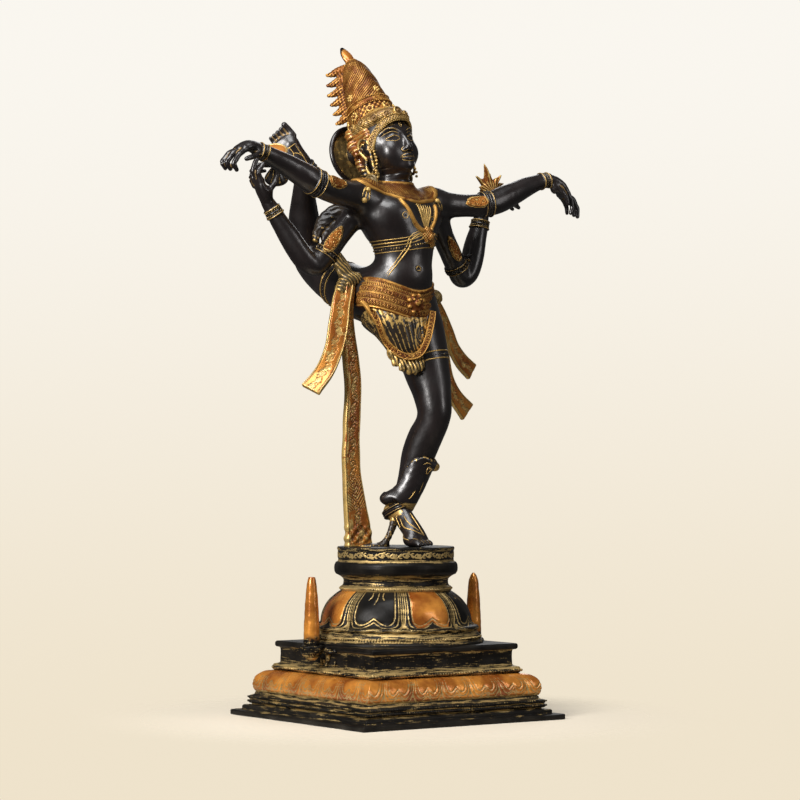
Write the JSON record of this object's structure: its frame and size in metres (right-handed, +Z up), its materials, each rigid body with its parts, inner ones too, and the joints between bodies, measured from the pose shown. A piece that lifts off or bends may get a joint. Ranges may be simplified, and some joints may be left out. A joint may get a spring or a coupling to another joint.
{
  "type": "nataraja figure",
  "caption": "Four-armed dancing figure of cast brass with one leg bent up behind it, on a stepped square plinth with a lotus dome and two pins for an arch.",
  "frame": {"origin": "centre of the plinth's square underside, in the plane it stands on", "axes": "+Z up, -Y the way the figure faces, +X towards the figure's own left"},
  "size_m": [0.4052, 0.2242, 0.6161],
  "materials": {
    "dark_lacquer": "near-black satin lacquer over cast brass, rubbed back to gold on edges and chased lines",
    "copper_lacquer": "copper-orange satin lacquer over cast brass"
  },
  "bodies": {
    "root": {"plinth": "dark_lacquer", "figure": "dark_lacquer", "arch_pin_left": "copper_lacquer", "arch_pin_right": "copper_lacquer"}
  },
  "joints": []
}
